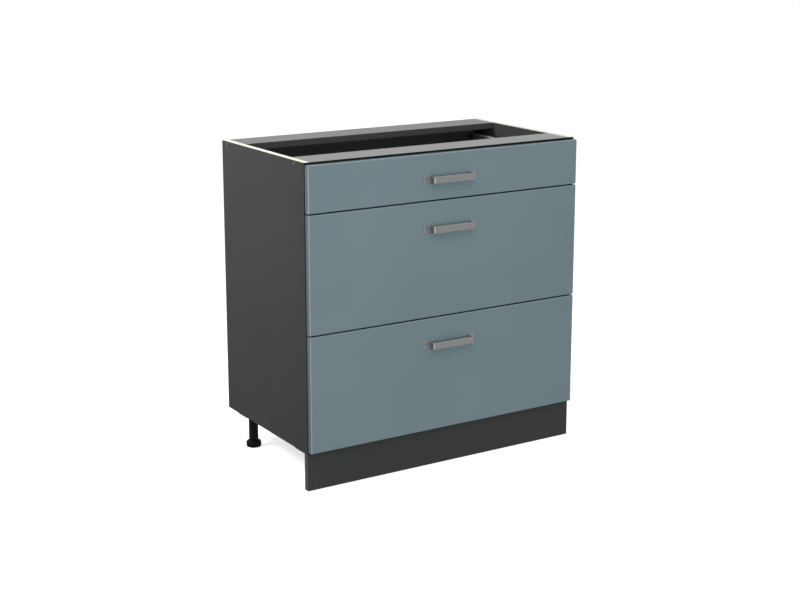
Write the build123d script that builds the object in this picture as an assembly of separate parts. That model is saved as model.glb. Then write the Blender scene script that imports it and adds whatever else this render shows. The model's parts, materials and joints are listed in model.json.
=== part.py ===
from build123d import *
from collections import namedtuple
import os

# Kitchen base cabinet with three drawers on telescopic runners.
# It stands on four levelling legs behind a plinth board.
# Millimetres. +X is right, the drawers open towards -Y and +Z is up.
# The origin lies on the floor, under the middle of the cabinet's outline with its drawers shut.

# ---------------------------------------------------------------- driving dimensions

# Carcass
CABINET_WIDTH = 800
CARCASS_HEIGHT = 720
CARCASS_DEPTH = 438
BOARD = 16
FRONT_RAIL_WIDTH = 90
REAR_RAIL_WIDTH = 95
BACK_PANEL = 3
BACK_PANEL_PLAY = 1
BACK_REBATE_DEPTH = 5
BACK_REBATE_WIDTH = 8
FASTENER_PLAY = 0.05  # radial play of a fastener in its drilled hole
END_PLAY = 0.5  # free depth past the tip of a fastener

# Board joints
DOWEL_DIAMETER = 8
DOWEL_LENGTH = 30
DOWEL_DEPTH_IN_SIDE = 11
DOWEL_BEVEL = 1
DOWEL_FROM_RAIL_EDGE = 18
DOWEL_FROM_PANEL_EDGE = 110
RAIL_SCREW_SHANK = 6.4
RAIL_SCREW_LENGTH = 46
RAIL_SCREW_HEAD = 10
RAIL_SCREW_HEAD_HEIGHT = 3
RAIL_SCREW_CORE = 5
REAR_SCREW_FROM_RAIL_EDGE = 28
CAP_DIAMETER = 12
CAP_HEIGHT = 1.6
CAP_ROUNDING = 1.3
CAP_STEM_DIAMETER = 4
CAP_STEM_LENGTH = 2
CAM_DIAMETER = 15
CAM_HEIGHT = 12.5
CAM_FROM_PANEL_END = 34
CAM_FROM_PANEL_EDGE = 160
CAM_BOLT_DIAMETER = 6
CAM_BOLT_HOLE = 8
CAM_BOLT_HEAD = 7
CAM_BOLT_HEAD_LENGTH = 2.5
CAM_BOLT_DEPTH_IN_SIDE = 11
CAM_SLOT_LENGTH = 10
CAM_SLOT_WIDTH = 1.4
CAM_SLOT_DEPTH = 1.5

# Legs and plinth
LEG_HEIGHT = 96  # floor to carcass, with the feet screwed right in
LEG_FROM_SIDE = 38
LEG_FROM_FRONT = 37
LEG_FROM_BACK = 68
LEG_DIAMETER = 25
LEG_WALL = 2.5
LEG_PLATE = 3
LEG_PLATE_SHORT_SIDE = 20  # from the leg towards the nearer edge of the carcass
LEG_PLATE_LONG_SIDE = 38
LEG_PLATE_OUTER_EDGE = 2  # inside the carcass's outer face
LEG_PLATE_INWARD = 30
LEG_PLATE_CORNER = 8
LEG_PLATE_HOLE_FROM_EDGE = 7
LEG_SOCKET_WALL = 4
LEG_SOCKET_HEIGHT = 13
LEG_RIBS = 8
LEG_RIB_THICKNESS = 3
LEG_RIB_SINK = 1  # into the socket's wall
LEG_RIB_REACH = 5
LEG_RIB_HEIGHT = 9
FOOT_DIAMETER = 40
FOOT_HEIGHT = 17
FOOT_LOBES = 8
FOOT_SCALLOP_DIAMETER = 10
FOOT_TOP_CHAMFER = 4
FOOT_BOTTOM_CHAMFER = 2
FOOT_STEM_LENGTH = 48
FOOT_STEM_PLAY = 0.08
FOOT_SHOULDER_GAP = 0.3
PLINTH_BOARD = 16
PLINTH_TOP_GAP = 0.5
PLINTH_FLOOR_GAP = 1.5
CLIP_HEIGHT = 20
CLIP_RING_WALL = 2.8
CLIP_RING_PLAY = 0.1
CLIP_MOUTH = 19
CLIP_WEB = 6
CLIP_PLATE = 3
CLIP_PLATE_WIDTH = 44
CLIP_PLATE_HEIGHT = 30
CLIP_HOLE_SPACING = 30

# Small screws of the leg plates, clips, brackets and runners
SCREW_SHANK = 4
SCREW_LENGTH = 12
SCREW_HEAD = 7.4
SCREW_HEAD_HEIGHT = 1.9

# Drawer fronts
FRONT_BOARD = 16
FRONT_STANDOFF = 1
FRONT_SIDE_REVEAL = 1.5
FRONT_TOP_REVEAL = 5
FRONT_BOTTOM_REVEAL = 5
FRONT_GAP = 3
FRONT_EDGE_RADIUS = 3
TOP_FRONT_HEIGHT = 116
BUMPER_DIAMETER = 8
BUMPER_PLAY = 0.1
BUMPER_FROM_TOP = 20

# Handles: one flat strip bent into a bow, with a foot turned outwards at each end
HANDLE_LENGTH = 154
HANDLE_BAR_LENGTH = 121
HANDLE_HEIGHT = 17
HANDLE_STRIP = 3
HANDLE_PROJECTION = 25
HANDLE_BEND_RADIUS = 2  # at the middle of the strip
HANDLE_EDGE_CHAMFER = 0.4
HANDLE_END_RADIUS = 3
HANDLE_SCREW_DIAMETER = 4
HANDLE_SCREW_HEAD = 8
HANDLE_SCREW_HEAD_HEIGHT = 2.4
HANDLE_SCREW_BITE = 2.2
TOP_HANDLE_DROP = 62
DEEP_HANDLE_DROP = 67

# Drawer boxes
SIDE_THICKNESS = 13
SIDE_SHEET = 1
SIDE_HEIGHT = 83
SIDE_BEND_RADIUS = 2
TOP_SIDE_RISE = 2
DEEP_SIDE_ABOVE_PANEL = 7
SIDE_LEDGE_HEIGHT = 8
SIDE_LEDGE_WIDTH = 15
SIDE_LEDGE_BEND = 1
DRAWER_BOTTOM = 12
DRAWER_BOTTOM_PLAY = 0.6
DRAWER_BACK = 12
TOP_BACK_BELOW_SIDE_TOP = 17
DEEP_BACK_BELOW_FRONT_TOP = 106
BRACKET_PLATE = 3
BRACKET_PLATE_HEIGHT = 66
BRACKET_TONGUE_HEIGHT = 34
BRACKET_TONGUE_LENGTH = 34
BRACKET_PLAY = 0.2
BRACKET_SCREW_FROM_END = 7
REAR_BRACKET_SHEET = 1.5
REAR_BRACKET_OVERLAP = 34
REAR_BRACKET_CORNER = 4
GALLERY_DIAMETER = 10
GALLERY_WALL = 1
GALLERY_FLANGE_DIAMETER = 13
GALLERY_FLANGE = 4
GALLERY_BELOW_BACK_TOP = 14

# Runners
RUNNER_THICKNESS = 12.7
RUNNER_HEIGHT = 45
RUNNER_SHEET = 1.5
RUNNER_SETBACK = 3
SPACE_BEHIND_RUNNERS = 30
RUNNER_ABOVE_SIDE_BOTTOM = 30
RUNNER_BEND_RADIUS = 2
CABINET_MEMBER_LIP = 3.2
MIDDLE_MEMBER_LIP = 2.6
RUNNER_BALL_SPACE = 3.9
RUNNER_WEB_GAP = 0.8
RUNNER_LIP_GAP = 1
CAGE_PLAY = 0.3
CAGE_SIDE_PLAY = 0.8
RUNNER_SCREW_FROM_FRONT = 37
RUNNER_SCREW_PITCH = 128
RUNNER_SCREWS = 3

# ---------------------------------------------------------------- derived planes

HALF_WIDTH = CABINET_WIDTH / 2
HALF_CLEAR = HALF_WIDTH - BOARD
OVERHANG = HANDLE_PROJECTION + FRONT_BOARD + FRONT_STANDOFF
CARCASS_FRONT = OVERHANG - (OVERHANG + CARCASS_DEPTH) / 2
CARCASS_BACK = CARCASS_FRONT + CARCASS_DEPTH
BOARDS_BACK = CARCASS_BACK - BACK_REBATE_DEPTH
CARCASS_BOTTOM = LEG_HEIGHT
CARCASS_TOP = LEG_HEIGHT + CARCASS_HEIGHT
FRONT_INNER = CARCASS_FRONT - FRONT_STANDOFF
FRONT_OUTER = FRONT_INNER - FRONT_BOARD
REAR_RAIL_FRONT = BOARDS_BACK - REAR_RAIL_WIDTH
RAIL_MIDDLE = CARCASS_TOP - BOARD / 2
PANEL_MIDDLE = CARCASS_BOTTOM + BOARD / 2
SIDE_OUTER = HALF_CLEAR - RUNNER_THICKNESS
SIDE_INNER = SIDE_OUTER - SIDE_THICKNESS
RUNNER_FRONT = CARCASS_FRONT + RUNNER_SETBACK
RUNNER_BACK = BOARDS_BACK - SPACE_BEHIND_RUNNERS
RUNNER_LENGTH = RUNNER_BACK - RUNNER_FRONT
RUNNER_TRAVEL = RUNNER_LENGTH  # full extension
DRAWER_LENGTH = RUNNER_LENGTH
SIDE_FRONT = FRONT_INNER + BRACKET_PLATE
SIDE_BACK = FRONT_INNER + DRAWER_LENGTH
BOX_HALF_WIDTH = SIDE_INNER - DRAWER_BOTTOM_PLAY
LEG_X = HALF_WIDTH - LEG_FROM_SIDE
FRONT_LEG_Y = CARCASS_FRONT + LEG_FROM_FRONT
REAR_LEG_Y = CARCASS_BACK - LEG_FROM_BACK
LEG_TOP = CARCASS_BOTTOM - LEG_PLATE
HANDLE_HOLE_X = (HANDLE_LENGTH + HANDLE_BAR_LENGTH) / 4
DEEP_FRONT_HEIGHT = (
    CARCASS_HEIGHT - FRONT_TOP_REVEAL - FRONT_BOTTOM_REVEAL - 2 * FRONT_GAP - TOP_FRONT_HEIGHT
) / 2

LEFT, RIGHT = (-1, 0, 0), (1, 0, 0)
FORWARDS, BACKWARDS = (0, -1, 0), (0, 1, 0)
UP, DOWN = (0, 0, 1), (0, 0, -1)

DEEP_SIDE_RISE = BOARD - FRONT_BOTTOM_REVEAL + DEEP_SIDE_ABOVE_PANEL
TOP_BACK_HEIGHT = SIDE_HEIGHT - TOP_BACK_BELOW_SIDE_TOP
DEEP_BACK_HEIGHT = DEEP_FRONT_HEIGHT - DEEP_SIDE_RISE - DEEP_BACK_BELOW_FRONT_TOP

Drawer = namedtuple(
    "Drawer", "name front_bottom front_height side_rise handle_drop back_height has_gallery"
)

BOTTOM_FRONT_Z = CARCASS_BOTTOM + FRONT_BOTTOM_REVEAL
MIDDLE_FRONT_Z = BOTTOM_FRONT_Z + DEEP_FRONT_HEIGHT + FRONT_GAP
TOP_FRONT_Z = MIDDLE_FRONT_Z + DEEP_FRONT_HEIGHT + FRONT_GAP
DEEP_DRAWER = (DEEP_FRONT_HEIGHT, DEEP_SIDE_RISE, DEEP_HANDLE_DROP, DEEP_BACK_HEIGHT, True)
DRAWERS = [
    Drawer("top", TOP_FRONT_Z, TOP_FRONT_HEIGHT, TOP_SIDE_RISE, TOP_HANDLE_DROP, TOP_BACK_HEIGHT, False),
    Drawer("middle", MIDDLE_FRONT_Z, *DEEP_DRAWER),
    Drawer("bottom", BOTTOM_FRONT_Z, *DEEP_DRAWER),
]


# ---------------------------------------------------------------- shared shapes


def board(x, y, z):
    """A flat board between the low and high value of each of its x, y and z ranges."""
    middle = Pos(sum(x) / 2, sum(y) / 2, sum(z) / 2)
    return middle * Box(x[1] - x[0], y[1] - y[0], z[1] - z[0])


def rod(start, direction, diameter, length):
    """A round rod, or the drill for its hole, that starts at a point and runs along a direction."""
    return Plane(origin=start, z_dir=direction) * Pos(0, 0, length / 2) * Cylinder(diameter / 2, length)


def opposite(direction):
    """The direction that points the other way."""
    return tuple(-part for part in direction)


def pan_screw(seat, outwards, head, head_height, shank, length):
    """A screw whose head sits on a surface at the seat point, with its bevelled top facing outwards."""
    cap = rod(seat, outwards, head, head_height)
    rim = cap.edges().filter_by(GeomType.CIRCLE).sort_by(Axis(seat, outwards))[-1]
    return chamfer(rim, head_height / 2) + rod(seat, opposite(outwards), shank, length)


def small_screw(seat, outwards):
    """The screw that holds plates, clips and brackets."""
    return pan_screw(seat, outwards, SCREW_HEAD, SCREW_HEAD_HEIGHT, SCREW_SHANK, SCREW_LENGTH)


def small_screw_hole(seat, outwards):
    """The hole for such a screw, from its seat down to just past its tip."""
    return rod(seat, opposite(outwards), SCREW_SHANK + 2 * FASTENER_PLAY, SCREW_LENGTH + END_PLAY)


def bent_strip(points, radii, sheet):
    """Section of a sheet that is bent along a line of points, with a radius for each corner."""
    return trace(FilletPolyline(*points, radius=radii), line_width=sheet)


def drawn_along_y(section, front, back):
    """A section with its second axis up, drawn out from front to back."""
    return Pos(0, back, 0) * extrude(Plane.XZ * section, back - front)


def both_sides(shapes):
    """The right-hand shapes together with their mirror images on the left."""
    return shapes + [mirror(shape, about=Plane.YZ) for shape in shapes]


def group(shapes):
    """Separate solids that share one node."""
    return Compound(children=[solid for shape in shapes for solid in shape.solids()])


# ---------------------------------------------------------------- where fasteners go

RAIL_SCREW_Y = [CARCASS_FRONT + FRONT_RAIL_WIDTH / 2, BOARDS_BACK - REAR_SCREW_FROM_RAIL_EDGE]
RAIL_DOWEL_Y = [
    CARCASS_FRONT + DOWEL_FROM_RAIL_EDGE,
    CARCASS_FRONT + FRONT_RAIL_WIDTH - DOWEL_FROM_RAIL_EDGE,
    REAR_RAIL_FRONT + DOWEL_FROM_RAIL_EDGE,
]
PANEL_DOWEL_Y = [CARCASS_FRONT + DOWEL_FROM_PANEL_EDGE, BOARDS_BACK - DOWEL_FROM_PANEL_EDGE]
CAM_Y = [CARCASS_FRONT + CAM_FROM_PANEL_EDGE, BOARDS_BACK - CAM_FROM_PANEL_EDGE]
DOWEL_POINTS = [(HALF_CLEAR, y, RAIL_MIDDLE) for y in RAIL_DOWEL_Y] + [
    (HALF_CLEAR, y, PANEL_MIDDLE) for y in PANEL_DOWEL_Y
]
LEG_POINTS = [(LEG_X, FRONT_LEG_Y), (LEG_X, REAR_LEG_Y)]


def leg_plate_reach(leg_y):
    """Front and rear edge of a leg's plate, whose long side points to the middle of the cabinet."""
    if leg_y < 0:
        return leg_y - LEG_PLATE_SHORT_SIDE, leg_y + LEG_PLATE_LONG_SIDE
    return leg_y - LEG_PLATE_LONG_SIDE, leg_y + LEG_PLATE_SHORT_SIDE


def side_bottom(drawer):
    """Height of the lower edge of a drawer's side profiles."""
    return drawer.front_bottom + drawer.side_rise


def runner_middle(drawer):
    """Height of the middle of a drawer's runners."""
    return side_bottom(drawer) + RUNNER_ABOVE_SIDE_BOTTOM


def runner_screw_seats(drawer):
    """Where the screws of the right-hand runner go into the cabinet's side."""
    ys = [CARCASS_FRONT + RUNNER_SCREW_FROM_FRONT + n * RUNNER_SCREW_PITCH for n in range(RUNNER_SCREWS)]
    return [(HALF_CLEAR - RUNNER_SHEET, y, runner_middle(drawer)) for y in ys]


def leg_plate_screw_seats(leg_x, leg_y):
    """Underside points of the four screws that hold one leg's plate."""
    outer = HALF_WIDTH - LEG_PLATE_OUTER_EDGE - LEG_PLATE_HOLE_FROM_EDGE
    inner = leg_x - LEG_PLATE_INWARD + LEG_PLATE_HOLE_FROM_EDGE
    front, rear = leg_plate_reach(leg_y)
    rows = (front + LEG_PLATE_HOLE_FROM_EDGE, rear - LEG_PLATE_HOLE_FROM_EDGE)
    return [(x, y, LEG_TOP) for x in (outer, inner) for y in rows]


def clip_screw_seats():
    """Points on the back of the right-hand plinth clip's plate."""
    y = CARCASS_FRONT + PLINTH_BOARD + CLIP_PLATE
    return [(LEG_X + side * CLIP_HOLE_SPACING / 2, y, LEG_HEIGHT / 2) for side in (-1, 1)]


def bracket_screw_seats(drawer):
    """Points on the back of the right-hand front bracket's plate."""
    x = (SIDE_OUTER + SIDE_INNER) / 2
    middle = side_bottom(drawer) + SIDE_HEIGHT / 2
    reach = BRACKET_PLATE_HEIGHT / 2 - BRACKET_SCREW_FROM_END
    return [(x, SIDE_FRONT, middle + side * reach) for side in (-1, 1)]


# ---------------------------------------------------------------- carcass


def side_panel():
    """Right-hand side: a rebate for the back panel and the holes of every fastener that enters it."""
    heights = (CARCASS_BOTTOM, CARCASS_TOP)
    panel = board((HALF_CLEAR, HALF_WIDTH), (CARCASS_FRONT, CARCASS_BACK), heights)
    panel -= board((HALF_CLEAR, HALF_CLEAR + BACK_REBATE_WIDTH), (BOARDS_BACK, CARCASS_BACK), heights)
    for point in DOWEL_POINTS:
        panel -= rod(point, RIGHT, DOWEL_DIAMETER + 2 * FASTENER_PLAY, DOWEL_DEPTH_IN_SIDE + END_PLAY)
    for y in CAM_Y:
        bite = CAM_BOLT_DEPTH_IN_SIDE + END_PLAY
        panel -= rod((HALF_CLEAR, y, PANEL_MIDDLE), RIGHT, CAM_BOLT_DIAMETER + 2 * FASTENER_PLAY, bite)
    for y in RAIL_SCREW_Y:
        surface = (HALF_WIDTH, y, RAIL_MIDDLE)
        recess = RAIL_SCREW_HEAD_HEIGHT + CAP_STEM_LENGTH + END_PLAY
        panel -= rod(surface, LEFT, RAIL_SCREW_SHANK + 2 * FASTENER_PLAY, BOARD)
        panel -= rod(surface, LEFT, RAIL_SCREW_HEAD + 2 * FASTENER_PLAY, recess)
    for drawer in DRAWERS:
        for _, y, z in runner_screw_seats(drawer):
            panel -= small_screw_hole((HALF_CLEAR - RUNNER_SHEET, y, z), LEFT)
    for leg in LEG_POINTS:
        for seat in leg_plate_screw_seats(*leg):
            panel -= small_screw_hole(seat, DOWN)
    return panel


def drill_board_end(part, z, dowel_ys):
    """Drills the dowel holes into both ends of a board that lies between the sides."""
    depth = DOWEL_LENGTH - DOWEL_DEPTH_IN_SIDE + END_PLAY
    for y in dowel_ys:
        part -= rod((HALF_CLEAR, y, z), LEFT, DOWEL_DIAMETER + 2 * FASTENER_PLAY, depth)
        part -= rod((-HALF_CLEAR, y, z), RIGHT, DOWEL_DIAMETER + 2 * FASTENER_PLAY, depth)
    return part


def bottom_panel():
    """Bottom, drilled from below for the cam fittings and the leg plates."""
    panel = board(
        (-HALF_CLEAR, HALF_CLEAR), (CARCASS_FRONT, BOARDS_BACK), (CARCASS_BOTTOM, CARCASS_BOTTOM + BOARD)
    )
    panel = drill_board_end(panel, PANEL_MIDDLE, PANEL_DOWEL_Y)
    drills = [cam_hole(y) for y in CAM_Y] + [cam_bolt_hole(y) for y in CAM_Y]
    for leg in LEG_POINTS:
        drills += [small_screw_hole(seat, DOWN) for seat in leg_plate_screw_seats(*leg)]
    for drill in both_sides(drills):
        panel -= drill
    return panel


def rail(front, back):
    """Top rail, lying flat between the sides."""
    part = board((-HALF_CLEAR, HALF_CLEAR), (front, back), (CARCASS_TOP - BOARD, CARCASS_TOP))
    part = drill_board_end(part, RAIL_MIDDLE, [y for y in RAIL_DOWEL_Y if front < y < back])
    reach = RAIL_SCREW_LENGTH + CAP_STEM_LENGTH + 2 * END_PLAY
    for y in RAIL_SCREW_Y:
        if front < y < back:
            for drill in both_sides(
                [rod((HALF_WIDTH, y, RAIL_MIDDLE), LEFT, RAIL_SCREW_CORE + 2 * FASTENER_PLAY, reach)]
            ):
                part -= drill
    return part


def back_panel():
    """Thin back, resting in the rebates of the sides and on the ends of the bottom and the rear rail."""
    half = HALF_CLEAR + BACK_REBATE_WIDTH - BACK_PANEL_PLAY
    return board(
        (-half, half),
        (BOARDS_BACK, BOARDS_BACK + BACK_PANEL),
        (CARCASS_BOTTOM + BACK_PANEL_PLAY, CARCASS_TOP - BACK_PANEL_PLAY),
    )


def dowels():
    """Wooden dowels of all board joints, with bevelled ends."""
    made = []
    for x, y, z in DOWEL_POINTS:
        pin = rod((x + DOWEL_DEPTH_IN_SIDE, y, z), LEFT, DOWEL_DIAMETER, DOWEL_LENGTH)
        made.append(chamfer(pin.edges().filter_by(GeomType.CIRCLE), DOWEL_BEVEL))
    return group(both_sides(made))


def rail_screws():
    """Long screws through the sides into the ends of the rails."""
    made = []
    seat_x = HALF_WIDTH - CAP_STEM_LENGTH - END_PLAY
    for y in RAIL_SCREW_Y:
        head = rod((seat_x, y, RAIL_MIDDLE), LEFT, RAIL_SCREW_HEAD, RAIL_SCREW_HEAD_HEIGHT)
        neck = seat_x - HALF_CLEAR
        shank = rod((seat_x, y, RAIL_MIDDLE), LEFT, RAIL_SCREW_SHANK, neck)
        core = rod((seat_x, y, RAIL_MIDDLE), LEFT, RAIL_SCREW_CORE, RAIL_SCREW_LENGTH)
        made.append(head + shank + core)
    return group(both_sides(made))


def screw_caps():
    """Round caps that cover the screw heads and stand a little proud of the sides."""
    made = []
    for y in RAIL_SCREW_Y:
        surface = (HALF_WIDTH, y, RAIL_MIDDLE)
        dome = rod(surface, RIGHT, CAP_DIAMETER, CAP_HEIGHT)
        rim = dome.edges().filter_by(GeomType.CIRCLE).sort_by(Axis.X)[-1]
        made.append(fillet(rim, CAP_ROUNDING) + rod(surface, LEFT, CAP_STEM_DIAMETER, CAP_STEM_LENGTH))
    return group(both_sides(made))


def cam_hole(y):
    """Blind hole for a cam in the underside of the bottom panel."""
    start = (HALF_CLEAR - CAM_FROM_PANEL_END, y, CARCASS_BOTTOM)
    return rod(start, UP, CAM_DIAMETER + 2 * FASTENER_PLAY, CAM_HEIGHT + END_PLAY)


def cam_bolt_hole(y):
    """Hole from the panel's end to its cam."""
    return rod((HALF_CLEAR, y, PANEL_MIDDLE), LEFT, CAM_BOLT_HOLE, CAM_FROM_PANEL_END)


def cam_fittings():
    """Cams in the bottom panel and the bolts that they pull on, which stand in the sides."""
    made = []
    for y in CAM_Y:
        centre_x = HALF_CLEAR - CAM_FROM_PANEL_END
        cam = rod((centre_x, y, CARCASS_BOTTOM), UP, CAM_DIAMETER, CAM_HEIGHT)
        pocket = CAM_BOLT_HEAD + 2 * END_PLAY
        mouth = rod((centre_x - CAM_BOLT_HEAD / 2, y, PANEL_MIDDLE), RIGHT, pocket, CAM_DIAMETER)
        drive = board(
            (centre_x - CAM_SLOT_LENGTH / 2, centre_x + CAM_SLOT_LENGTH / 2),
            (y - CAM_SLOT_WIDTH / 2, y + CAM_SLOT_WIDTH / 2),
            (CARCASS_BOTTOM, CARCASS_BOTTOM + CAM_SLOT_DEPTH),
        )
        tip = HALF_CLEAR + CAM_BOLT_DEPTH_IN_SIDE
        head_end = centre_x - CAM_BOLT_HEAD / 2 + END_PLAY
        bolt = rod((tip, y, PANEL_MIDDLE), LEFT, CAM_BOLT_DIAMETER, tip - head_end)
        head = rod((head_end, y, PANEL_MIDDLE), RIGHT, CAM_BOLT_HEAD, CAM_BOLT_HEAD_LENGTH)
        made += [cam - mouth - drive, bolt + head]
    return group(both_sides(made))


# ---------------------------------------------------------------- legs and plinth


def leg_plate(leg_x, leg_y):
    """Plate under the carcass with a ribbed socket for the leg tube."""
    x_range = (leg_x - LEG_PLATE_INWARD, HALF_WIDTH - LEG_PLATE_OUTER_EDGE)
    plate = board(x_range, leg_plate_reach(leg_y), (LEG_TOP, CARCASS_BOTTOM))
    plate = fillet(plate.edges().filter_by(Axis.Z), LEG_PLATE_CORNER)
    socket_radius = LEG_DIAMETER / 2 + LEG_SOCKET_WALL
    rib_outline = Polyline(
        (socket_radius - LEG_RIB_SINK, 0),
        (socket_radius + LEG_RIB_REACH, 0),
        (socket_radius, -LEG_RIB_HEIGHT),
        (socket_radius - LEG_RIB_SINK, -LEG_RIB_HEIGHT),
        close=True,
    )
    rib = extrude(Plane.XZ * make_face(rib_outline), LEG_RIB_THICKNESS / 2, both=True)
    part = plate + rod((leg_x, leg_y, LEG_TOP), DOWN, 2 * socket_radius, LEG_SOCKET_HEIGHT)
    for turn in PolarLocations(0, LEG_RIBS, 180 / LEG_RIBS):
        part += Pos(leg_x, leg_y, LEG_TOP) * turn * rib
    part -= rod((leg_x, leg_y, LEG_TOP), DOWN, LEG_DIAMETER + 2 * FASTENER_PLAY, LEG_SOCKET_HEIGHT)
    for seat in leg_plate_screw_seats(leg_x, leg_y):
        part -= rod(seat, UP, SCREW_SHANK + 2 * FASTENER_PLAY, LEG_PLATE)
    return part


def leg_tube(leg_x, leg_y):
    """Leg tube, from the plate down to just above the foot's shoulder."""
    length = LEG_TOP - FOOT_HEIGHT - FOOT_SHOULDER_GAP
    tube = rod((leg_x, leg_y, LEG_TOP), DOWN, LEG_DIAMETER, length)
    return tube - rod((leg_x, leg_y, LEG_TOP), DOWN, LEG_DIAMETER - 2 * LEG_WALL, length)


def foot(leg_x, leg_y):
    """Lobed foot with the stem that screws into the leg tube."""
    disc = rod((leg_x, leg_y, 0), UP, FOOT_DIAMETER, FOOT_HEIGHT)
    rims = disc.edges().filter_by(GeomType.CIRCLE).sort_by(Axis.Z)
    disc = chamfer(rims[-1], FOOT_TOP_CHAMFER)
    disc = chamfer(disc.edges().filter_by(GeomType.CIRCLE).sort_by(Axis.Z)[0], FOOT_BOTTOM_CHAMFER)
    scallops = PolarLocations(FOOT_DIAMETER / 2 + FOOT_SCALLOP_DIAMETER / 4, FOOT_LOBES, 180 / FOOT_LOBES)
    for scallop in scallops:
        disc -= Pos(leg_x, leg_y, 0) * scallop * rod((0, 0, 0), UP, FOOT_SCALLOP_DIAMETER, FOOT_HEIGHT)
    stem_diameter = LEG_DIAMETER - 2 * LEG_WALL - 2 * FOOT_STEM_PLAY
    return disc + rod((leg_x, leg_y, 0), UP, stem_diameter, FOOT_HEIGHT + FOOT_STEM_LENGTH)


def plinth_board():
    """Plinth, flush with the front edges of the carcass."""
    return board(
        (-HALF_WIDTH, HALF_WIDTH),
        (CARCASS_FRONT, CARCASS_FRONT + PLINTH_BOARD),
        (PLINTH_FLOOR_GAP, CARCASS_BOTTOM - PLINTH_TOP_GAP),
    ) - group(both_sides([small_screw_hole(seat, BACKWARDS) for seat in clip_screw_seats()]))


def plinth_clip():
    """Clip on the plinth whose open ring snaps round a front leg."""
    plate_back = CARCASS_FRONT + PLINTH_BOARD + CLIP_PLATE
    bottom = (LEG_HEIGHT - CLIP_HEIGHT) / 2
    inner = LEG_DIAMETER / 2 + CLIP_RING_PLAY
    outer = inner + CLIP_RING_WALL
    web_length = FRONT_LEG_Y - inner - plate_back
    ring = Circle(outer) + Pos(0, -inner - web_length / 2) * Rectangle(CLIP_WEB, web_length)
    ring = ring - Circle(inner) - Pos(0, outer) * Rectangle(CLIP_MOUTH, outer)
    plate = board(
        (LEG_X - CLIP_PLATE_WIDTH / 2, LEG_X + CLIP_PLATE_WIDTH / 2),
        (plate_back - CLIP_PLATE, plate_back),
        ((LEG_HEIGHT - CLIP_PLATE_HEIGHT) / 2, (LEG_HEIGHT + CLIP_PLATE_HEIGHT) / 2),
    )
    for seat in clip_screw_seats():
        plate -= rod(seat, FORWARDS, SCREW_SHANK + 2 * FASTENER_PLAY, CLIP_PLATE)
    return plate + Pos(LEG_X, FRONT_LEG_Y, bottom) * extrude(ring, CLIP_HEIGHT)


def hardware_screws():
    """Screws of the leg plates and plinth clips, and flat-headed ones flush in the webs of the runners."""
    made = [small_screw(seat, BACKWARDS) for seat in clip_screw_seats()]
    for leg in LEG_POINTS:
        made += [small_screw(seat, DOWN) for seat in leg_plate_screw_seats(*leg)]
    for drawer in DRAWERS:
        for seat in runner_screw_seats(drawer):
            head = rod(seat, RIGHT, SCREW_HEAD, RUNNER_SHEET)
            made.append(head + rod(seat, RIGHT, SCREW_SHANK, SCREW_LENGTH))
    return group(both_sides(made))


# ---------------------------------------------------------------- runners


def channel(web_x, opens, half_height, reach, lip, drawer):
    """Section of a runner member: a web, two flanges that run the way it opens, and inward lips."""
    z = runner_middle(drawer)
    tip = web_x + opens * reach
    upper = [(web_x, z + half_height), (tip, z + half_height)]
    if lip:
        upper.append((tip, z + half_height - lip))
    lower = [(x, 2 * z - height) for x, height in reversed(upper)]
    points = lower + upper
    return bent_strip(points, [RUNNER_BEND_RADIUS] * (len(points) - 2), RUNNER_SHEET)


def runner_stack():
    """Web positions and half heights of the three members, all at the middle of their sheets."""
    half = RUNNER_SHEET / 2
    cabinet_web = HALF_CLEAR - half
    middle_web = cabinet_web - RUNNER_SHEET - RUNNER_WEB_GAP
    drawer_web = SIDE_OUTER + half
    cabinet_height = RUNNER_HEIGHT / 2 - half
    middle_height = cabinet_height - RUNNER_SHEET - RUNNER_BALL_SPACE
    drawer_height = middle_height - RUNNER_SHEET - RUNNER_BALL_SPACE
    return cabinet_web, middle_web, drawer_web, cabinet_height, middle_height, drawer_height


def cabinet_member(drawer):
    """Outer runner member, screwed to the cabinet's side."""
    cabinet_web, _, _, half_height, _, _ = runner_stack()
    reach = RUNNER_THICKNESS - RUNNER_SHEET - RUNNER_LIP_GAP
    section = channel(cabinet_web, -1, half_height, reach, CABINET_MEMBER_LIP, drawer)
    member = drawn_along_y(section, RUNNER_FRONT, RUNNER_BACK)
    for x, y, z in runner_screw_seats(drawer):
        member -= rod((x, y, z), RIGHT, SCREW_HEAD + 2 * FASTENER_PLAY, RUNNER_SHEET)
    return member


def middle_member(drawer):
    """Middle runner member, which moves half as far as the drawer."""
    _, middle_web, drawer_web, _, half_height, _ = runner_stack()
    reach = middle_web - drawer_web - RUNNER_SHEET - CAGE_PLAY
    section = channel(middle_web, -1, half_height, reach, MIDDLE_MEMBER_LIP, drawer)
    return drawn_along_y(section, RUNNER_FRONT, RUNNER_BACK)


def drawer_member(drawer):
    """Inner runner member, fixed to the drawer's side."""
    _, middle_web, drawer_web, _, _, half_height = runner_stack()
    reach = middle_web - drawer_web - 2 * RUNNER_SHEET
    section = channel(drawer_web, 1, half_height, reach, 0, drawer)
    return drawn_along_y(section, RUNNER_FRONT, RUNNER_BACK)


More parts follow.
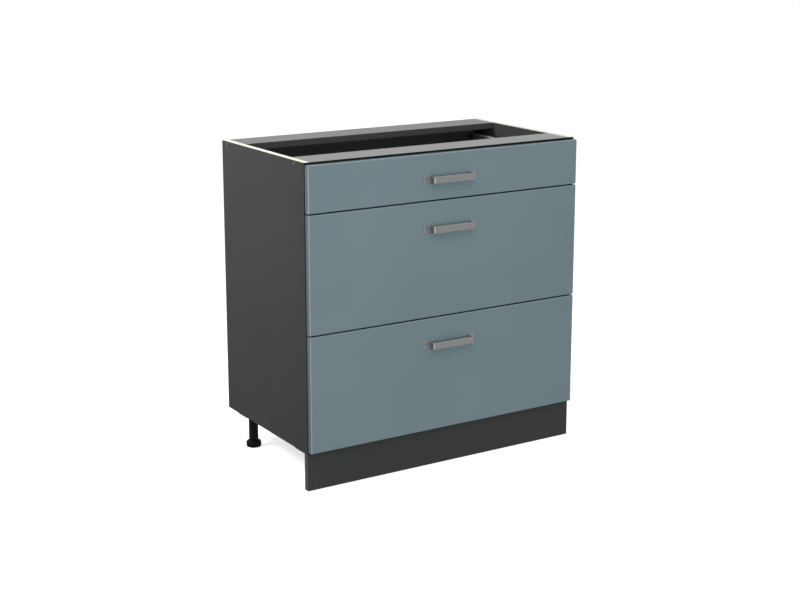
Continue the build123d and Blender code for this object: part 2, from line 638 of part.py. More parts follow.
def ball_cages(drawer):
    """Cage strips above and below the inner and the middle member, which keep the members apart."""
    cabinet_web, middle_web, drawer_web, cabinet_height, middle_height, drawer_height = runner_stack()
    half = RUNNER_SHEET / 2
    length = RUNNER_LENGTH - RUNNER_TRAVEL / 2
    thickness = RUNNER_BALL_SPACE - 2 * CAGE_PLAY
    made = []
    outer_low = cabinet_web - RUNNER_THICKNESS + RUNNER_SHEET + RUNNER_LIP_GAP + half + CAGE_SIDE_PLAY
    inner_low = drawer_web + 2 * RUNNER_SHEET + CAGE_PLAY - half + CAGE_SIDE_PLAY
    outer_x = (outer_low, middle_web)
    inner_x = (inner_low, middle_web - RUNNER_BEND_RADIUS)
    rear, front = (RUNNER_BACK - length, RUNNER_BACK), (RUNNER_FRONT, RUNNER_FRONT + length)
    for x, y, lower in ((outer_x, rear, middle_height), (inner_x, front, drawer_height)):
        start = lower + half + CAGE_PLAY
        for side in (-1, 1):
            heights = sorted(runner_middle(drawer) + side * h for h in (start, start + thickness))
            made.append(board(x, y, heights))
    return made


# ---------------------------------------------------------------- drawers


def drawer_front(drawer):
    """Front board with rounded outer edges, drilled for the handle and the brackets."""
    half = HALF_WIDTH - FRONT_SIDE_REVEAL
    top = drawer.front_bottom + drawer.front_height
    panel = board((-half, half), (FRONT_OUTER, FRONT_INNER), (drawer.front_bottom, top))
    panel = fillet(panel.faces().sort_by(Axis.Y)[0].edges(), FRONT_EDGE_RADIUS)
    for x in (-HANDLE_HOLE_X, HANDLE_HOLE_X):
        start = (x, FRONT_INNER, handle_height(drawer))
        panel -= rod(start, FORWARDS, HANDLE_SCREW_DIAMETER + 2 * FASTENER_PLAY, FRONT_BOARD)
    for drill in both_sides([small_screw_hole(seat, BACKWARDS) for seat in bracket_screw_seats(drawer)]):
        panel -= drill
    return panel


def handle_height(drawer):
    """Height of the middle of a drawer's handle."""
    return drawer.front_bottom + drawer.front_height - drawer.handle_drop


def handle(drawer):
    """Bow handle bent from one flat strip."""
    foot_y = FRONT_OUTER - HANDLE_STRIP / 2
    bar_y = FRONT_OUTER - HANDLE_PROJECTION + HANDLE_STRIP / 2
    arm_x = HANDLE_BAR_LENGTH / 2 - HANDLE_STRIP / 2
    end_x = HANDLE_LENGTH / 2
    line = [(-end_x, foot_y), (-arm_x, foot_y), (-arm_x, bar_y)]
    line += [(-x, y) for x, y in reversed(line)]
    section = bent_strip(line, [HANDLE_BEND_RADIUS] * 4, HANDLE_STRIP)
    strip = extrude(section, HANDLE_HEIGHT / 2, both=True)
    ends = strip.edges().filter_by(Axis.Y).group_by(SortBy.LENGTH)[0]
    corners = [edge for edge in ends if abs(edge.center().X) > end_x - HANDLE_EDGE_CHAMFER]
    strip = fillet(corners, HANDLE_END_RADIUS)
    rims = [
        edge
        for edge in strip.faces().filter_by(Axis.Z).edges()
        if abs(edge.center().X) < end_x - HANDLE_END_RADIUS - HANDLE_EDGE_CHAMFER
    ]
    strip = chamfer(rims, HANDLE_EDGE_CHAMFER)
    strip = Pos(0, 0, handle_height(drawer)) * strip
    depth = HANDLE_SCREW_BITE + FASTENER_PLAY
    for x in (-HANDLE_HOLE_X, HANDLE_HOLE_X):
        start = (x, FRONT_OUTER, handle_height(drawer))
        strip -= rod(start, FORWARDS, HANDLE_SCREW_DIAMETER + 2 * FASTENER_PLAY, depth)
    return strip


def drawer_side(drawer):
    """Right-hand double-wall side, folded from sheet, with a ledge for the bottom."""
    low = side_bottom(drawer)
    outer = SIDE_OUTER - SIDE_SHEET / 2
    inner = SIDE_INNER + SIDE_SHEET / 2
    top = low + SIDE_HEIGHT - SIDE_SHEET / 2
    ledge = low + SIDE_LEDGE_HEIGHT + SIDE_SHEET / 2
    line = [(outer, low), (outer, top), (inner, top), (inner, ledge)]
    line.append((SIDE_INNER - SIDE_LEDGE_WIDTH, ledge))
    section = bent_strip(line, [SIDE_BEND_RADIUS, SIDE_BEND_RADIUS, SIDE_LEDGE_BEND], SIDE_SHEET)
    return drawn_along_y(section, SIDE_FRONT, SIDE_BACK)


def drawer_bottom(drawer):
    """Bottom, lying on the ledges of the sides."""
    low = side_bottom(drawer) + SIDE_LEDGE_HEIGHT + SIDE_SHEET
    return board((-BOX_HALF_WIDTH, BOX_HALF_WIDTH), (FRONT_INNER, SIDE_BACK), (low, low + DRAWER_BOTTOM))


def drawer_back(drawer):
    """Back, standing on the bottom between the sides."""
    low = side_bottom(drawer) + SIDE_LEDGE_HEIGHT + SIDE_SHEET + DRAWER_BOTTOM
    top = side_bottom(drawer) + drawer.back_height
    return board((-BOX_HALF_WIDTH, BOX_HALF_WIDTH), (SIDE_BACK - DRAWER_BACK, SIDE_BACK), (low, top))


def front_bracket(drawer):
    """Bracket behind the front whose tongue fills the end of the hollow side."""
    middle = side_bottom(drawer) + SIDE_HEIGHT / 2
    plate = board(
        (SIDE_INNER, SIDE_OUTER),
        (FRONT_INNER, SIDE_FRONT),
        (middle - BRACKET_PLATE_HEIGHT / 2, middle + BRACKET_PLATE_HEIGHT / 2),
    )
    inset = SIDE_SHEET + BRACKET_PLAY
    tongue = board(
        (SIDE_INNER + inset, SIDE_OUTER - inset),
        (SIDE_FRONT, SIDE_FRONT + BRACKET_TONGUE_LENGTH),
        (middle - BRACKET_TONGUE_HEIGHT / 2, middle + BRACKET_TONGUE_HEIGHT / 2),
    )
    tongue = chamfer(tongue.faces().sort_by(Axis.Y)[-1].edges(), SIDE_SHEET)
    bracket = plate + tongue
    for seat in bracket_screw_seats(drawer):
        bracket -= rod(seat, FORWARDS, SCREW_SHANK + 2 * FASTENER_PLAY, BRACKET_PLATE)
    return bracket


def rear_bracket(drawer):
    """Sheet bracket that closes the end of the side and holds the back."""
    low = side_bottom(drawer)
    plate = board(
        (SIDE_INNER - REAR_BRACKET_OVERLAP, SIDE_OUTER),
        (SIDE_BACK, SIDE_BACK + REAR_BRACKET_SHEET),
        (low, low + drawer.back_height),
    )
    return fillet(plate.edges().filter_by(Axis.Y), REAR_BRACKET_CORNER)


def gallery_rail(drawer):
    """Round rail above the side, from the front to the rear bracket, with a flange at each end."""
    x = (SIDE_OUTER + SIDE_INNER) / 2
    z = side_bottom(drawer) + drawer.back_height - GALLERY_BELOW_BACK_TOP
    length = SIDE_BACK - FRONT_INNER
    tube = rod((x, FRONT_INNER, z), BACKWARDS, GALLERY_DIAMETER, length)
    tube += rod((x, FRONT_INNER, z), BACKWARDS, GALLERY_FLANGE_DIAMETER, GALLERY_FLANGE)
    tube += rod((x, SIDE_BACK, z), FORWARDS, GALLERY_FLANGE_DIAMETER, GALLERY_FLANGE)
    return tube - rod((x, FRONT_INNER, z), BACKWARDS, GALLERY_DIAMETER - 2 * GALLERY_WALL, length)


def bumpers(drawer):
    """Soft dots on the back of the front that meet the edges of the carcass's sides."""
    z = drawer.front_bottom + drawer.front_height - BUMPER_FROM_TOP
    start = (HALF_WIDTH - BOARD / 2, FRONT_INNER, z)
    return both_sides([rod(start, BACKWARDS, BUMPER_DIAMETER, FRONT_STANDOFF - BUMPER_PLAY)])


def drawer_screws(drawer):
    """Screws of the handle and of the front brackets."""
    made = both_sides([small_screw(seat, BACKWARDS) for seat in bracket_screw_seats(drawer)])
    for x in (-HANDLE_HOLE_X, HANDLE_HOLE_X):
        seat = (x, FRONT_INNER, handle_height(drawer))
        length = FRONT_BOARD + HANDLE_SCREW_BITE
        made.append(
            pan_screw(
                seat, BACKWARDS, HANDLE_SCREW_HEAD, HANDLE_SCREW_HEAD_HEIGHT, HANDLE_SCREW_DIAMETER, length
            )
        )
    return group(made)


def drawer_nodes(drawer):
    """Every node of one drawer and its runners."""
    name = drawer.name + "_drawer"
    side = drawer_side(drawer)
    nodes = {
        name + "_front": drawer_front(drawer),
        name + "_handle": handle(drawer),
        name + "_screws": drawer_screws(drawer),
        name + "_side_right": side,
        name + "_side_left": mirror(side, about=Plane.YZ),
        name + "_bottom": drawer_bottom(drawer),
        name + "_back": drawer_back(drawer),
        name + "_brackets": group(both_sides([front_bracket(drawer), rear_bracket(drawer)])),
        name + "_bumpers": group(bumpers(drawer)),
        name + "_runner_inner_members": group(both_sides([drawer_member(drawer)])),
        name + "_runner_middle_members": group(both_sides([middle_member(drawer)])),
        name + "_runner_cages": group(both_sides(ball_cages(drawer))),
    }
    if drawer.has_gallery:
        nodes[name + "_gallery_rails"] = group(both_sides([gallery_rail(drawer)]))
    return nodes


# ---------------------------------------------------------------- the cabinet


def cabinet_nodes():
    """Every node of the cabinet, by name."""
    right_side = side_panel()
    nodes = {
        "side_panel_right": right_side,
        "side_panel_left": mirror(right_side, about=Plane.YZ),
        "bottom_panel": bottom_panel(),
        "top_rail_front": rail(CARCASS_FRONT, CARCASS_FRONT + FRONT_RAIL_WIDTH),
        "top_rail_rear": rail(REAR_RAIL_FRONT, BOARDS_BACK),
        "back_panel": back_panel(),
        "carcass_dowels": dowels(),
        "carcass_rail_screws": rail_screws(),
        "carcass_screw_caps": screw_caps(),
        "carcass_cam_fittings": cam_fittings(),
        "leg_plates": group(both_sides([leg_plate(*leg) for leg in LEG_POINTS])),
        "leg_tubes": group(both_sides([leg_tube(*leg) for leg in LEG_POINTS])),
        "foot_front_right": foot(LEG_X, FRONT_LEG_Y),
        "foot_front_left": foot(-LEG_X, FRONT_LEG_Y),
        "foot_rear_right": foot(LEG_X, REAR_LEG_Y),
        "foot_rear_left": foot(-LEG_X, REAR_LEG_Y),
        "plinth_board": plinth_board(),
        "plinth_clips": group(both_sides([plinth_clip()])),
        "hardware_screws": hardware_screws(),
        "runner_cabinet_members": group(both_sides([cabinet_member(drawer) for drawer in DRAWERS])),
    }
    for drawer in DRAWERS:
        nodes.update(drawer_nodes(drawer))
    return nodes


os.makedirs("parts", exist_ok=True)
for node, shape in cabinet_nodes().items():
    export_step(shape, f"parts/{node}.step")
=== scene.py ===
import json
import math

import bmesh
import bpy
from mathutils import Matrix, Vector

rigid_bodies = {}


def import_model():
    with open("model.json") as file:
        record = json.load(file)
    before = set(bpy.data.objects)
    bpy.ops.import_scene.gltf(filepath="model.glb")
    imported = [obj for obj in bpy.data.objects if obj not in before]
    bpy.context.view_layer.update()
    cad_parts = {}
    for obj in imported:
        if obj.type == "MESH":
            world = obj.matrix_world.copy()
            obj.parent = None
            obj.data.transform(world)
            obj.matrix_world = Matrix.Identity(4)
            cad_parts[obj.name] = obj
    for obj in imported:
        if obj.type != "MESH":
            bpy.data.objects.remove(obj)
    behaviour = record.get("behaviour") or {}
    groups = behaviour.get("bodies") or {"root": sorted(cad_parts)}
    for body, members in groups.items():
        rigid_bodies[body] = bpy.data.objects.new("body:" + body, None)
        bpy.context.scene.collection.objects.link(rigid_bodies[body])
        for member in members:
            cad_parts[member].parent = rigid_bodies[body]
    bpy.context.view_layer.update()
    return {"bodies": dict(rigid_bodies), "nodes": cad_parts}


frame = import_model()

# Kitchen base cabinet with three drawers: materials, studio and camera.
# Metres, in the frame of the CAD model: +X right, the drawers open towards -Y, +Z up.

NODES = frame["nodes"]


def rgb(red, green, blue):
    """A colour with full opacity."""
    return (red, green, blue, 1.0)


# ---------------------------------------------------------------- colours, as linear values

WHITE = rgb(1.0, 1.0, 1.0)

# Each pair holds the darkest and the lightest tone of a grain.
LACQUER = (rgb(0.146, 0.206, 0.224), rgb(0.155, 0.217, 0.235))
# Painted shade: the fronts' narrow sides, darker than their faces.
LACQUER_NARROW_SIDE_SHADE = rgb(0.072, 0.103, 0.112)
# Painted highlight on the fronts' rounded edges.
LACQUER_RIM_HIGHLIGHT = rgb(0.24, 0.31, 0.33)
SIDE_BOARD = (rgb(0.036, 0.0374, 0.0368), rgb(0.0425, 0.0441, 0.0435))
CARCASS_BOARD = (rgb(0.038, 0.0395, 0.0389), rgb(0.044, 0.0457, 0.0450))
# Painted light: the rear rail's melamine, lighter than the same melamine on the other boards, for the
# light its shaded place lacks.
REAR_RAIL_LIT_BOARD = (rgb(0.053, 0.0552, 0.0543), rgb(0.060, 0.0622, 0.0613))
PLINTH_BOARD = (rgb(0.033, 0.0352, 0.0344), rgb(0.040, 0.0424, 0.0415))
NEAR_BLACK_EDGE = rgb(0.007, 0.0074, 0.0074)
CHIPBOARD = (rgb(0.56, 0.52, 0.42), rgb(0.70, 0.68, 0.62))
BARE_FIBREBOARD = (rgb(0.20, 0.12, 0.065), rgb(0.30, 0.19, 0.11))
PAINTED_FIBREBOARD = (rgb(0.074, 0.076, 0.075), rgb(0.084, 0.087, 0.086))
DRAWER_BOARD = (rgb(0.055, 0.057, 0.058), rgb(0.075, 0.077, 0.078))
HANDLE_STEEL = (rgb(0.199, 0.197, 0.199), rgb(0.236, 0.234, 0.236))
# Painted highlight on the handles' rounded edges and bends.
HANDLE_EDGE_HIGHLIGHT = rgb(0.45, 0.445, 0.445)
POWDER_COAT = (rgb(0.072, 0.074, 0.076), rgb(0.086, 0.089, 0.091))
# Painted highlight along the bends of the drawer sides.
BEND_HIGHLIGHT = rgb(0.30, 0.31, 0.31)
BEECH = (rgb(0.50, 0.33, 0.18), rgb(0.66, 0.48, 0.29))
CAP_PLASTIC = (rgb(0.014, 0.0145, 0.0145), rgb(0.018, 0.0185, 0.0185))
LEG_PLASTIC = (rgb(0.003, 0.003, 0.003), rgb(0.005, 0.005, 0.005))
CAGE_PLASTIC = (rgb(0.72, 0.71, 0.66), rgb(0.80, 0.79, 0.75))
SILICONE = rgb(0.86, 0.87, 0.85)
RUNNER_ZINC = (0.66, 0.67, 0.69)
SCREW_ZINC = (0.62, 0.62, 0.60)
CAM_ZINC = (0.55, 0.55, 0.56)
ZINC_SMEAR = 0.93

# ---------------------------------------------------------------- numbers shared by the materials

X, Y, Z = range(3)

# Nearly all values of a noise lie between these.
NOISE_LOW, NOISE_HIGH = 0.3, 0.7

# A face looks along an axis where its normal's part along that axis is above this.
FACING = 0.5

# The largest part of the normal where an edge is fully rounded, and where a face is flat.
ROUNDED_NORMAL, FLAT_NORMAL = 0.88, 0.995

# ---------------------------------------------------------------- studio and camera values

# Strength of the world as a light. Where it is seen, itself or in a reflection, it is 1.
SKY_LIGHT = 0.5

FLOOR_HALF_SIZE = 30.0

# The floor for the camera: its grey and the white glow added to it.
FLOOR_GREY = 0.88
FLOOR_LIFT = 0.66

# The floor's grey as a surface that lights the object.
FLOOR_BOUNCE = 0.20

# Points that the lamps face.
UPPER_PART = (0.0, 0.0, 0.7)
MIDDLE_PART = (0.0, 0.0, 0.45)
ABOVE_LEFT_SIDE = (-0.4, 0.15, 0.95)

# Fitted to the photograph's straight edges: lens and sensor in millimetres, turn in radians.
CAMERA_LENS = 68.442
CAMERA_SENSOR = 36.0
CAMERA_SHIFT = -0.06
CAMERA_PLACE = (-2.07633, -3.29234, 1.38390)
CAMERA_TURN = (1.35196, 0.0, -0.56043)


# ---------------------------------------------------------------- shader helpers


def wire(tree, kind, sockets=None, **settings):
    """Adds a node, sets its properties, and sets its inputs or links them to outputs."""
    made = tree.nodes.new(kind)
    for name, value in settings.items():
        setattr(made, name, value)
    for key, value in (sockets or {}).items():
        if isinstance(value, bpy.types.NodeSocket):
            tree.links.new(value, made.inputs[key])
        else:
            made.inputs[key].default_value = value
    return made


def emptied_tree(owner):
    """The node tree of a material or world, without any node."""
    owner.use_nodes = True
    owner.node_tree.nodes.clear()
    return owner.node_tree


def new_material(name):
    """An empty node material and the output of its object coordinates."""
    made = bpy.data.materials.new(name)
    tree = emptied_tree(made)
    place = wire(tree, "ShaderNodeTexCoord").outputs["Object"]
    return made, tree, place


def stretched(tree, place, scale):
    """Coordinates scaled by a different number along each axis."""
    return wire(tree, "ShaderNodeMapping", {"Vector": place, "Scale": scale}).outputs["Vector"]


def noise(tree, place, scale=1.0, detail=2.0, roughness=0.5):
    """Grey noise, mostly between NOISE_LOW and NOISE_HIGH."""
    sockets = {"Vector": place, "Scale": scale, "Detail": detail, "Roughness": roughness}
    return wire(tree, "ShaderNodeTexNoise", sockets).outputs[0]


def cells(tree, place, scale):
    """The random colour of each cell of a Voronoi pattern, as grey."""
    found = wire(tree, "ShaderNodeTexVoronoi", {"Vector": place, "Scale": scale})
    return wire(tree, "ShaderNodeSeparateColor", {"Color": found.outputs["Color"]}).outputs[0]


def remap(tree, value, low, high, new_low, new_high):
    """A value carried from one range to another, with its ends held."""
    sockets = {"Value": value, "From Min": low, "From Max": high, "To Min": new_low, "To Max": new_high}
    return wire(tree, "ShaderNodeMapRange", sockets).outputs["Result"]


def varied(tree, grain, low, high):
    """A number that follows a noise from one end to the other."""
    return remap(tree, grain, NOISE_LOW, NOISE_HIGH, low, high)


def switched(tree, mask, unmasked, masked):
    """One number where a mask is 0, another where it is 1."""
    return remap(tree, mask, 0.0, 1.0, unmasked, masked)


def calc(tree, operation, first, second=0.0):
    """The result of a mathematical operation."""
    return wire(tree, "ShaderNodeMath", {0: first, 1: second}, operation=operation).outputs[0]


def weighed(tree, first, first_share, second, second_share):
    """The sum of two grains, each times its share."""
    return calc(
        tree,
        "ADD",
        calc(tree, "MULTIPLY", first, first_share),
        calc(tree, "MULTIPLY", second, second_share),
    )


def mean(tree, first, second):
    """Halfway between two values."""
    return calc(tree, "MULTIPLY", calc(tree, "ADD", first, second), 0.5)


def blend_colours(tree, factor, first, second):
    """A mix of two colours.

    The node has sockets for each kind of data, and these numbers are those for colours.
    """
    factor_input, first_input, second_input, result_output = 0, 6, 7, 2
    sockets = {factor_input: factor, first_input: first, second_input: second}
    return wire(tree, "ShaderNodeMix", sockets, data_type="RGBA").outputs[result_output]


def toned(tree, grain, tones, low=NOISE_LOW, high=NOISE_HIGH):
    """A colour that follows a grain from the dark to the light tone of a pair."""
    dark, light = tones
    return blend_colours(tree, remap(tree, grain, low, high, 0.0, 1.0), dark, light)


def normal_part(tree, axis):
    """One part of the surface's normal."""
    normal = wire(tree, "ShaderNodeNewGeometry").outputs["Normal"]
    return wire(tree, "ShaderNodeSeparateXYZ", {"Vector": normal}).outputs[axis]


def steepness(tree, axis):
    """How much a surface faces along an axis, either way."""
    return calc(tree, "ABSOLUTE", normal_part(tree, axis))


def above(tree, value, limit):
    """1 where a value is above a limit, otherwise 0."""
    return calc(tree, "GREATER_THAN", value, limit)


def rounded_edge(tree):
    """1 on rounded edges, whose normals point along none of the axes, otherwise 0."""
    steepest = calc(tree, "MAXIMUM", steepness(tree, X), steepness(tree, Y))
    steepest = calc(tree, "MAXIMUM", steepest, steepness(tree, Z))
    return remap(tree, steepest, ROUNDED_NORMAL, FLAT_NORMAL, 1.0, 0.0)


def narrow_side(tree):
    """1 on the narrow sides of a board that faces along Y, otherwise 0."""
    return remap(tree, steepness(tree, Y), low=0.2, high=0.5, new_low=1.0, new_high=0.0)


def painted_rim_highlight(tree):
    """Where a highlight is painted: 1 on the rounded upright edges of a board, less on its rounded level
    edges, otherwise 0.
    """
    upright = remap(tree, steepness(tree, X), low=0.1, high=0.4, new_low=0.35, new_high=1.0)
    return calc(tree, "MULTIPLY", rounded_edge(tree), upright)


def bumped(tree, height, strength, distance):
    """Normals tilted by a height."""
    sockets = {"Height": height, "Strength": strength, "Distance": distance}
    return wire(tree, "ShaderNodeBump", sockets).outputs["Normal"]


def shade(tree, **inputs):
    """The surface shader and its link to the material's output."""
    sockets = {name.replace("_", " "): value for name, value in inputs.items()}
    shader = wire(tree, "ShaderNodeBsdfPrincipled", sockets)
    wire(tree, "ShaderNodeOutputMaterial", {"Surface": shader.outputs[0]})


# ---------------------------------------------------------------- materials


def lacquered_front():
    """Blue-grey lacquer with a satin gloss and a faint orange peel, its narrow sides painted darker as
    shade and its rounded edges with a painted highlight.
    """
    made, tree, place = new_material("front_lacquer")
    cloud = noise(tree, place, scale=3.0)
    sheen = noise(tree, place, scale=14.0, detail=4.0)
    peel = noise(tree, place, scale=300.0, detail=1.0)
    colour = toned(tree, cloud, LACQUER, low=0.35, high=0.65)
    # Painted shade: the narrow sides darker than the face.
    colour = blend_colours(tree, narrow_side(tree), colour, LACQUER_NARROW_SIDE_SHADE)
    # Painted highlight on the rounded edges, stronger on the upright ones.
    colour = blend_colours(tree, painted_rim_highlight(tree), colour, LACQUER_RIM_HIGHLIGHT)
    shade(
        tree,
        Base_Color=colour,
        Roughness=varied(tree, sheen, 0.28, 0.34),
        Normal=bumped(tree, peel, strength=0.02, distance=0.0003),
        Specular_IOR_Level=0.1,
        Coat_Weight=0.2,
        Coat_Roughness=0.08,
    )
    return made


def chipboard(tree, place):
    """Colour and height of sawn chipboard."""
    flakes = cells(tree, stretched(tree, place, (1.0, 0.55, 1.0)), scale=520.0)
    dust = noise(tree, place, scale=1400.0, detail=2.0)
    grit = weighed(tree, flakes, 0.6, dust, 0.4)
    return toned(tree, grit, CHIPBOARD, low=0.15, high=0.75), grit


def sawn_faces(tree):
    """Mask of the faces of a side panel without an edge band: top, bottom and rear."""
    ends = above(tree, steepness(tree, Z), FACING)
    rear = above(tree, normal_part(tree, Y), FACING)
    return calc(tree, "MAXIMUM", ends, rear)


def melamine(name, tones, reflection, near_black_edges=False, edge_reflection=None, sawn=False):
    """Anthracite melamine with a fine pearl grain.

    The front edges can be near black, with a mirror level of their own if one is given,
    and the top, bottom and rear faces can be sawn chipboard.
    """
    made, tree, place = new_material(name)
    pearl = noise(tree, place, scale=700.0, detail=3.0, roughness=0.6)
    cloud = noise(tree, place, scale=5.0)
    colour = toned(tree, weighed(tree, pearl, 0.75, cloud, 0.25), tones, low=0.38, high=0.62)
    gloss = varied(tree, pearl, 0.27, 0.30)
    height = pearl
    if near_black_edges:
        # The front edges near black.
        front_edge = above(tree, calc(tree, "MULTIPLY", normal_part(tree, Y), -1.0), FACING)
        colour = blend_colours(tree, front_edge, colour, NEAR_BLACK_EDGE)
        if edge_reflection is not None:
            reflection = switched(tree, front_edge, reflection, edge_reflection)
    if sawn:
        mask = sawn_faces(tree)
        bare, grit = chipboard(tree, place)
        colour = blend_colours(tree, mask, colour, bare)
        gloss = switched(tree, mask, gloss, 0.9)
        height = calc(tree, "ADD", height, calc(tree, "MULTIPLY", grit, mask))
    shade(
        tree,
        Base_Color=colour,
        Roughness=gloss,
        Normal=bumped(tree, height, strength=0.02, distance=0.0002),
        Specular_IOR_Level=reflection,
    )
    return made


def hardboard():
    """Back panel: painted inside, bare brown fibreboard outside."""
    made, tree, place = new_material("back_hardboard")
    outside = above(tree, normal_part(tree, Y), FACING)
    fibre = noise(tree, stretched(tree, place, (260.0, 260.0, 340.0)), detail=5.0, roughness=0.7)
    brown = toned(tree, fibre, BARE_FIBREBOARD)
    grey = toned(tree, fibre, PAINTED_FIBREBOARD)
    shade(
        tree,
        Base_Color=blend_colours(tree, outside, grey, brown),
        Roughness=varied(tree, fibre, 0.5, 0.75),
        Normal=bumped(tree, fibre, strength=0.2, distance=0.0004),
    )
    return made


def drawer_board():
    """Anthracite melamine with a faint linen grain."""
    made, tree, place = new_material("drawer_board")
    warp = noise(tree, stretched(tree, place, (900.0, 60.0, 900.0)))
    weft = noise(tree, stretched(tree, place, (60.0, 900.0, 60.0)))
    linen = mean(tree, warp, weft)
    shade(
        tree,
        Base_Color=toned(tree, linen, DRAWER_BOARD, low=0.38, high=0.62),
        Roughness=remap(tree, linen, low=0.4, high=0.6, new_low=0.38, new_high=0.5),
        Normal=bumped(tree, linen, strength=0.15, distance=0.0003),
    )
    return made


def brushed_handle():
    """Stainless look with brush marks along the bar and a painted highlight on its rounded edges."""
    made, tree, place = new_material("handle_steel")
    marks = noise(tree, stretched(tree, place, (35.0, 2600.0, 2600.0)), detail=3.0, roughness=0.7)
    wide = noise(tree, stretched(tree, place, (20.0, 300.0, 300.0)))
    # Painted highlight: rounded edges and bends lighter.
    colour = blend_colours(tree, rounded_edge(tree), toned(tree, marks, HANDLE_STEEL), HANDLE_EDGE_HIGHLIGHT)
    shade(
        tree,
        Base_Color=colour,
        Metallic=0.4,
        Roughness=calc(tree, "ADD", varied(tree, marks, 0.18, 0.3), varied(tree, wide, 0.0, 0.08)),
        Anisotropic=0.5,
        Normal=bumped(tree, marks, strength=0.08, distance=0.0002),
    )
    return made


def zinc_plated(name, tint):
    """Zinc-plated sheet with a fine spangle and darker smears of grease."""
    made, tree, place = new_material(name)
    spangle = cells(tree, place, scale=260.0)
    smear = noise(tree, stretched(tree, place, (60.0, 9.0, 60.0)), detail=3.0)
    both = calc(tree, "ADD", spangle, smear)
    smeared = rgb(*(ZINC_SMEAR * part for part in tint))
    shade(
        tree,
        Base_Color=blend_colours(tree, mean(tree, spangle, smear), smeared, rgb(*tint)),
        Metallic=1.0,
        Roughness=remap(tree, both, low=0.3, high=1.6, new_low=0.28, new_high=0.36),
        Normal=bumped(tree, spangle, strength=0.04, distance=0.0002),
    )
    return made


def powder_coat(name, painted_bend_highlights):
    """Anthracite powder coat with a fine orange peel, on folded sheet with a painted highlight along the
    bends.
    """
    made, tree, place = new_material(name)
    peel = noise(tree, place, scale=650.0, detail=2.0)
    cloud = noise(tree, place, scale=9.0)
    colour = toned(tree, cloud, POWDER_COAT)
    # Painted highlight along the bends.
    if painted_bend_highlights:
        colour = blend_colours(tree, rounded_edge(tree), colour, BEND_HIGHLIGHT)
    shade(
        tree,
        Base_Color=colour,
        Roughness=varied(tree, peel, 0.28, 0.38),
        Normal=bumped(tree, peel, strength=0.1, distance=0.0005),
    )
    return made


def moulded(name, tones, smooth, rough, relief, reflection=0.5):
    """Moulded plastic with a fine eroded surface."""
    made, tree, place = new_material(name)
    grain = noise(tree, place, scale=1100.0, detail=2.0)
    flow = noise(tree, stretched(tree, place, (40.0, 40.0, 12.0)))
    shade(
        tree,
        Base_Color=toned(tree, flow, tones),
        Roughness=varied(tree, grain, smooth, rough),
        Normal=bumped(tree, grain, strength=relief, distance=0.0003),
        Specular_IOR_Level=reflection,
    )
    return made


def beech():
    """Beech with fine rays along the dowel."""
    made, tree, place = new_material("dowel_beech")
    grain = noise(tree, stretched(tree, place, (60.0, 900.0, 900.0)), detail=3.0)
    shade(
        tree,
        Base_Color=toned(tree, grain, BEECH),
        Roughness=0.7,
        Normal=bumped(tree, grain, strength=0.2, distance=0.0003),
    )
    return made


def silicone():
    """Clear soft dot."""
    made, tree, place = new_material("bumper_silicone")
    haze = noise(tree, place, scale=500.0)
    shade(
        tree,
        Base_Color=SILICONE,
        Roughness=varied(tree, haze, 0.15, 0.3),
        Transmission_Weight=0.6,
        IOR=1.41,
    )
    return made


def paint(names, material):
    """Gives the CAD nodes a material."""
    for name in names:
        mesh = NODES[name].data
        mesh.materials.clear()
        mesh.materials.append(material)


def node_names(*endings):
    """Names of all nodes with one of these endings."""
    return [name for name in NODES if name.endswith(endings)]


paint(node_names("_drawer_front"), lacquered_front())
paint(
    ["side_panel_right", "side_panel_left"],
    melamine("side_board", SIDE_BOARD, reflection=0.022, near_black_edges=True, sawn=True),
)
paint(
    ["bottom_panel", "top_rail_front"],
    melamine("carcass_board", CARCASS_BOARD, reflection=0.46, near_black_edges=True, edge_reflection=0.05),
)
# Painted light: the rear rail gets a lighter copy of the carcass melamine.
paint(["top_rail_rear"], melamine("rear_rail_lit_board", REAR_RAIL_LIT_BOARD, reflection=0.085))
paint(["plinth_board"], melamine("plinth_board", PLINTH_BOARD, reflection=0.1))
paint(["back_panel"], hardboard())
paint(node_names("_drawer_bottom", "_drawer_back"), drawer_board())
paint(node_names("_handle"), brushed_handle())
paint(
    node_names("_side_right", "_side_left", "_brackets"),
    powder_coat("drawer_powder_coat", painted_bend_highlights=True),
)
paint(node_names("_gallery_rails"), powder_coat("rail_powder_coat", painted_bend_highlights=False))
paint(
    ["runner_cabinet_members"] + node_names("_runner_inner_members", "_runner_middle_members"),
    zinc_plated("runner_zinc", RUNNER_ZINC),
)
paint(
    ["hardware_screws", "carcass_rail_screws"] + node_names("_drawer_screws"),
    zinc_plated("screw_zinc", SCREW_ZINC),
)
paint(["carcass_cam_fittings"], zinc_plated("cam_zinc", CAM_ZINC))
paint(["carcass_dowels"], beech())
paint(
    ["carcass_screw_caps"],
    moulded("cap_plastic", CAP_PLASTIC, smooth=0.2, rough=0.3, relief=0.03),
)
paint(
    ["leg_plates", "leg_tubes", "plinth_clips"] + [name for name in NODES if name.startswith("foot_")],
    moulded("leg_plastic", LEG_PLASTIC, smooth=0.4, rough=0.55, relief=0.1, reflection=0.07),
)
paint(
    node_names("_runner_cages"),
    moulded("cage_plastic", CAGE_PLASTIC, smooth=0.4, rough=0.5, relief=0.05),
)
paint(node_names("_bumpers"), silicone())


# ---------------------------------------------------------------- studio


def chosen_shader(tree, factor, unmasked, masked):
    """One shader where a factor is 0, another where it is 1."""
    return wire(tree, "ShaderNodeMixShader", {0: factor, 1: unmasked, 2: masked}).outputs[0]


def matt_shader(tree, grey):
    """Even matt grey."""
    return wire(tree, "ShaderNodeBsdfDiffuse", {"Color": rgb(grey, grey, grey)}).outputs[0]


def glow_shader(tree, strength):
    """White light of its own."""
    return wire(tree, "ShaderNodeEmission", {"Color": WHITE, "Strength": strength}).outputs[0]


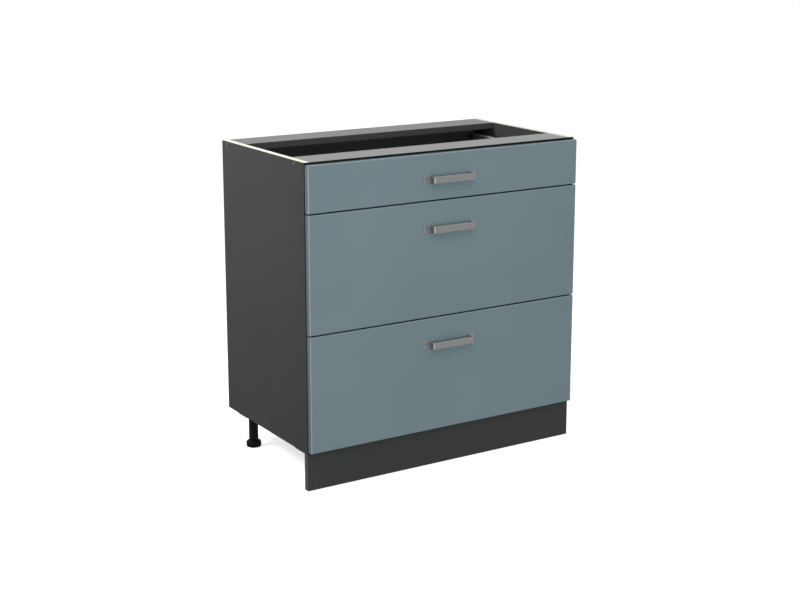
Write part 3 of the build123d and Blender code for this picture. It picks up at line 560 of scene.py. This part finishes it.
def floor_material():
    """White to the camera where nothing shades it, white in reflections, clear from below.

    It throws less light back on the object than its look suggests.
    """
    made = bpy.data.materials.new("studio_floor")
    tree = emptied_tree(made)
    ray = wire(tree, "ShaderNodeLightPath").outputs
    from_below = wire(tree, "ShaderNodeNewGeometry").outputs["Backfacing"]
    clear = wire(tree, "ShaderNodeBsdfTransparent").outputs[0]
    layers = {0: matt_shader(tree, FLOOR_GREY), 1: glow_shader(tree, FLOOR_LIFT)}
    pale = wire(tree, "ShaderNodeAddShader", layers).outputs[0]
    in_reflection = calc(tree, "MAXIMUM", ray["Is Glossy Ray"], ray["Is Transmission Ray"])
    unseen = chosen_shader(
        tree, in_reflection, matt_shader(tree, FLOOR_BOUNCE), glow_shader(tree, 1.0)
    )
    seen = chosen_shader(tree, from_below, pale, clear)
    surface = chosen_shader(tree, ray["Is Camera Ray"], unseen, seen)
    wire(tree, "ShaderNodeOutputMaterial", {"Surface": surface})
    return made


def floor_sheet():
    """Large floor that stays under the lowest foot when feet are screwed out."""
    mesh = bpy.data.meshes.new("studio_floor")
    sheet = bmesh.new()
    bmesh.ops.create_grid(sheet, x_segments=2, y_segments=2, size=FLOOR_HALF_SIZE)
    sheet.to_mesh(mesh)
    sheet.free()
    mesh.materials.append(floor_material())
    floor = bpy.data.objects.new("studio_floor", mesh)
    for body_name, body in frame["bodies"].items():
        if body_name.startswith("foot_"):
            under_foot = floor.constraints.new("FLOOR")
            under_foot.target = body
            under_foot.floor_location = "FLOOR_NEGATIVE_Z"
    bpy.context.scene.collection.objects.link(floor)


def studio_world():
    """White where it is seen or mirrored, and an even grey light otherwise."""
    world = bpy.data.worlds.new("studio")
    bpy.context.scene.world = world
    tree = emptied_tree(world)
    ray = wire(tree, "ShaderNodeLightPath").outputs
    seen = calc(tree, "MAXIMUM", ray["Is Camera Ray"], ray["Is Glossy Ray"])
    seen = calc(tree, "MAXIMUM", seen, ray["Is Transmission Ray"])
    strength = switched(tree, seen, SKY_LIGHT, 1.0)
    sky = wire(tree, "ShaderNodeBackground", {"Color": WHITE, "Strength": strength})
    wire(tree, "ShaderNodeOutputWorld", {"Surface": sky.outputs[0]})


def softbox(name, place, aim, size, watts, light_angle=180.0, reflected=True):
    """A large area lamp that faces a point, with the full angle of its light in degrees."""
    lamp = bpy.data.lights.new(name, "AREA")
    lamp.shape = "RECTANGLE"
    lamp.size, lamp.size_y = size
    lamp.energy = watts
    lamp.spread = math.radians(light_angle)
    made = bpy.data.objects.new(name, lamp)
    made.location = place
    made.rotation_euler = (Vector(aim) - Vector(place)).to_track_quat("-Z", "Y").to_euler()
    made.visible_glossy = reflected
    bpy.context.scene.collection.objects.link(made)


def photo_camera():
    """Camera at the photograph's viewing angle."""
    camera = bpy.data.cameras.new("photo_camera")
    camera.lens = CAMERA_LENS
    camera.sensor_width = CAMERA_SENSOR
    camera.shift_y = CAMERA_SHIFT
    made = bpy.data.objects.new("photo_camera", camera)
    made.location = CAMERA_PLACE
    made.rotation_euler = CAMERA_TURN
    bpy.context.scene.collection.objects.link(made)
    bpy.context.scene.camera = made


floor_sheet()
studio_world()
softbox(
    "key_side", place=(-1.9, 0.6, 2.0), aim=ABOVE_LEFT_SIDE, size=(0.8, 0.8), watts=8.0, light_angle=60.0
)
softbox("key_front", place=(-1.2, -2.2, 2.4), aim=UPPER_PART, size=(2.4, 1.8), watts=32.0)
softbox(
    "fill_front", place=(-0.8, -4.7, 0.9), aim=MIDDLE_PART, size=(2.8, 1.5), watts=90.0, reflected=False
)
softbox("overhead", place=(0.2, 0.4, 2.6), aim=UPPER_PART, size=(2.0, 1.4), watts=7.0)
photo_camera()
bpy.context.scene.view_settings.view_transform = "Standard"
